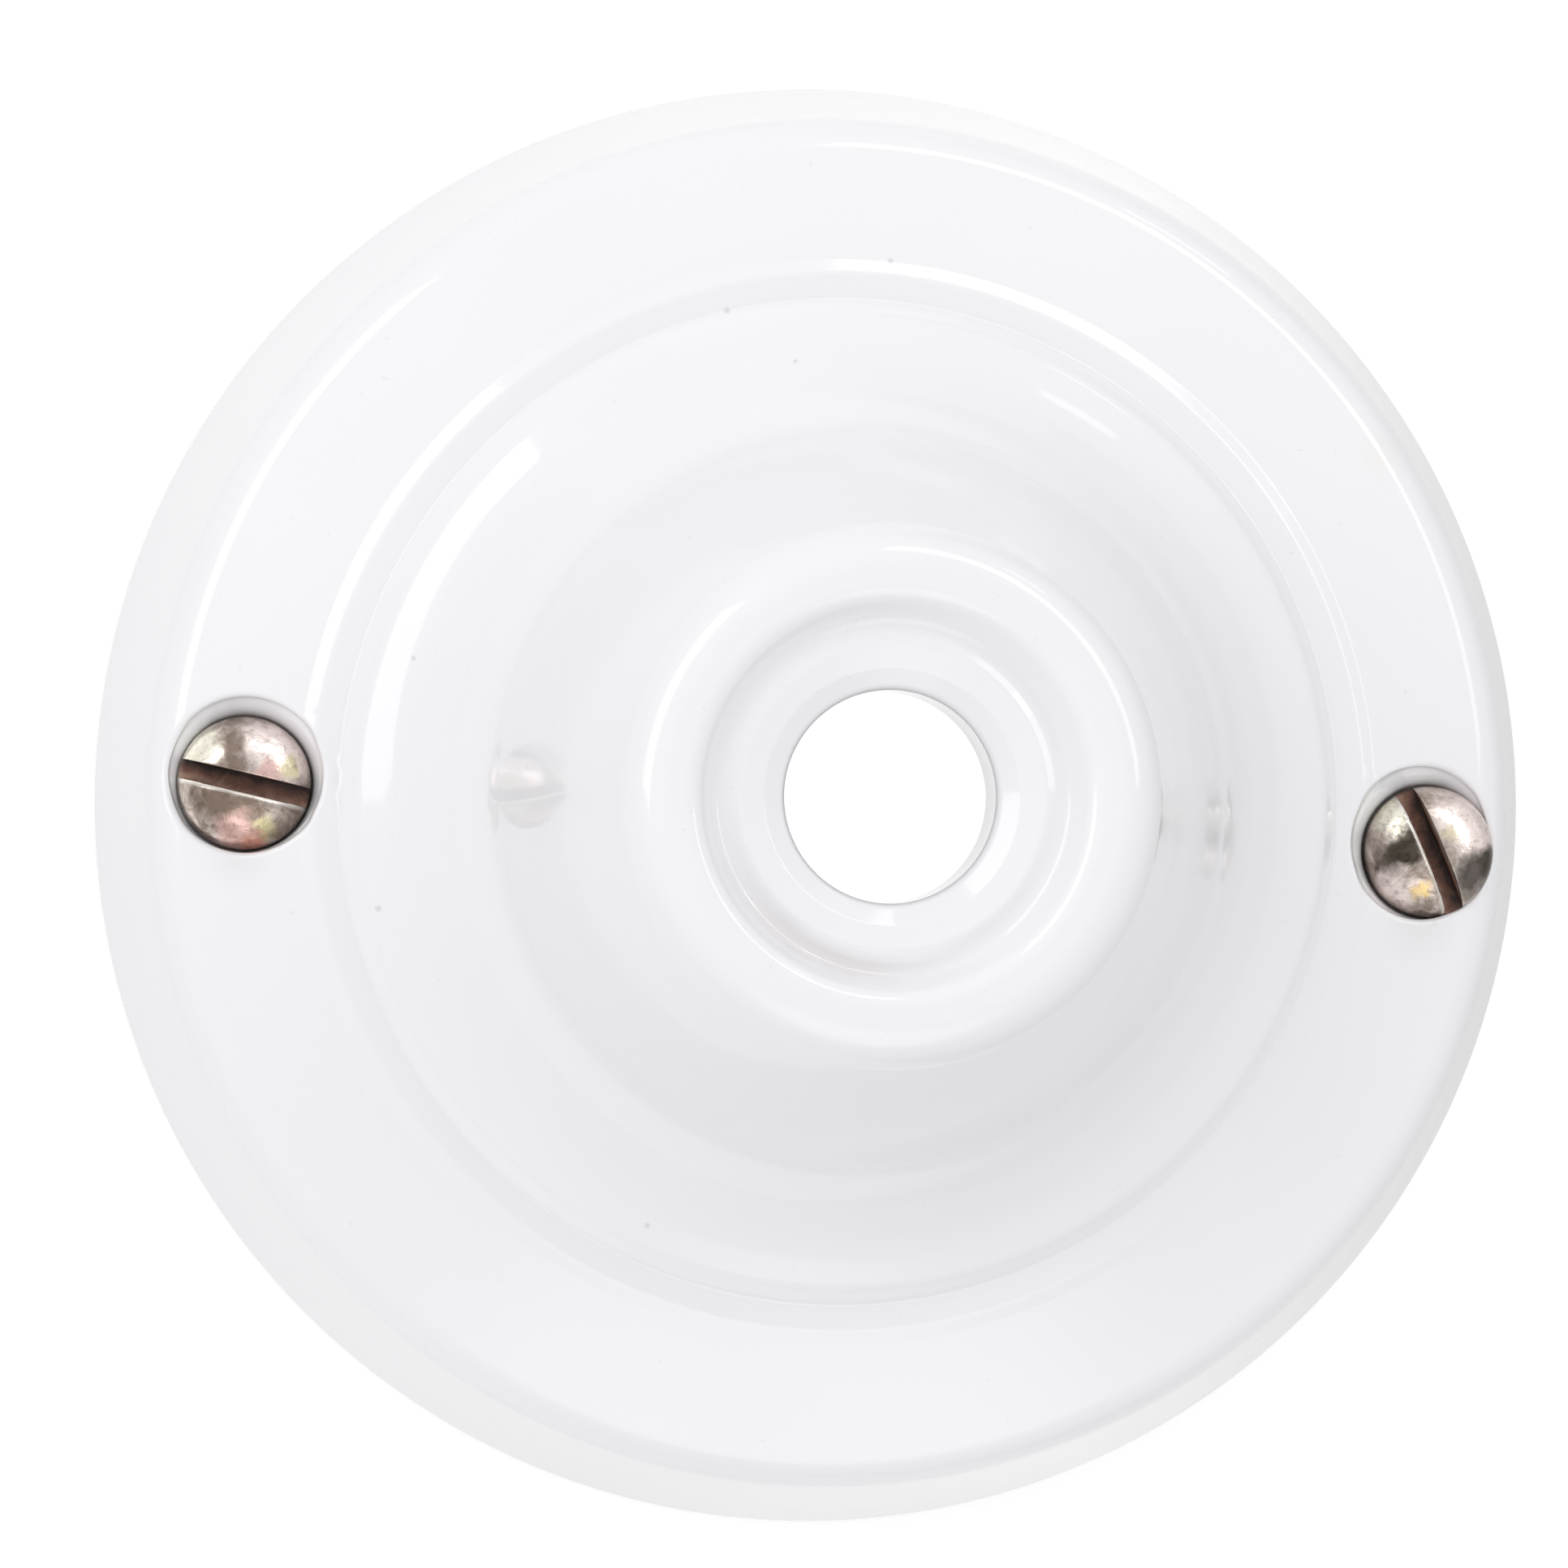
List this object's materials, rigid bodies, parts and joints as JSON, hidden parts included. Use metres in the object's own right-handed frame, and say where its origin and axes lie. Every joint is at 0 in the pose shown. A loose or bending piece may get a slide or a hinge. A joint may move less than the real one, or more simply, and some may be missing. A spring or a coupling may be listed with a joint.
{
  "type": "electrical ceiling rose",
  "caption": "Round porcelain ceiling rose: stepped dome cover with a rolled neck and a flex hole, screwed over a porcelain terminal base.",
  "frame": {"origin": "middle of the back plane, where the rim of the cover meets the ceiling", "axes": "+Z out of the ceiling towards the room, through the flex hole; +X from the left cover screw to the right one"},
  "size_m": [0.089, 0.089, 0.0399],
  "materials": {
    "cover_glaze": "glossy glaze",
    "base_glaze": "glossy glaze",
    "cover_screw_steel": "tarnished bright plating",
    "brass": "turned",
    "brass_screw": "turned",
    "zinc_steel": "zinc plated",
    "fibre": "vulcanised fibre"
  },
  "bodies": {
    "root": {"cover": "cover_glaze", "base": "base_glaze", "cover_screw_left": "cover_screw_steel", "cover_screw_right": "cover_screw_steel", "cover_pillar_left": "brass", "cover_pillar_right": "brass", "cord_clamp_bar": "fibre", "cord_clamp_screws": "zinc_steel", "cord_clamp_nuts": "zinc_steel", "line_terminal": "brass", "line_clamp_screws": "brass_screw", "line_terminal_screw": "zinc_steel", "neutral_terminal": "brass", "neutral_clamp_screws": "brass_screw", "neutral_terminal_screw": "zinc_steel", "loop_terminal": "brass", "loop_clamp_screws": "brass_screw", "loop_terminal_screw": "zinc_steel", "earth_terminal": "brass", "earth_clamp_screws": "brass_screw", "earth_terminal_screw": "zinc_steel"}
  },
  "joints": []
}
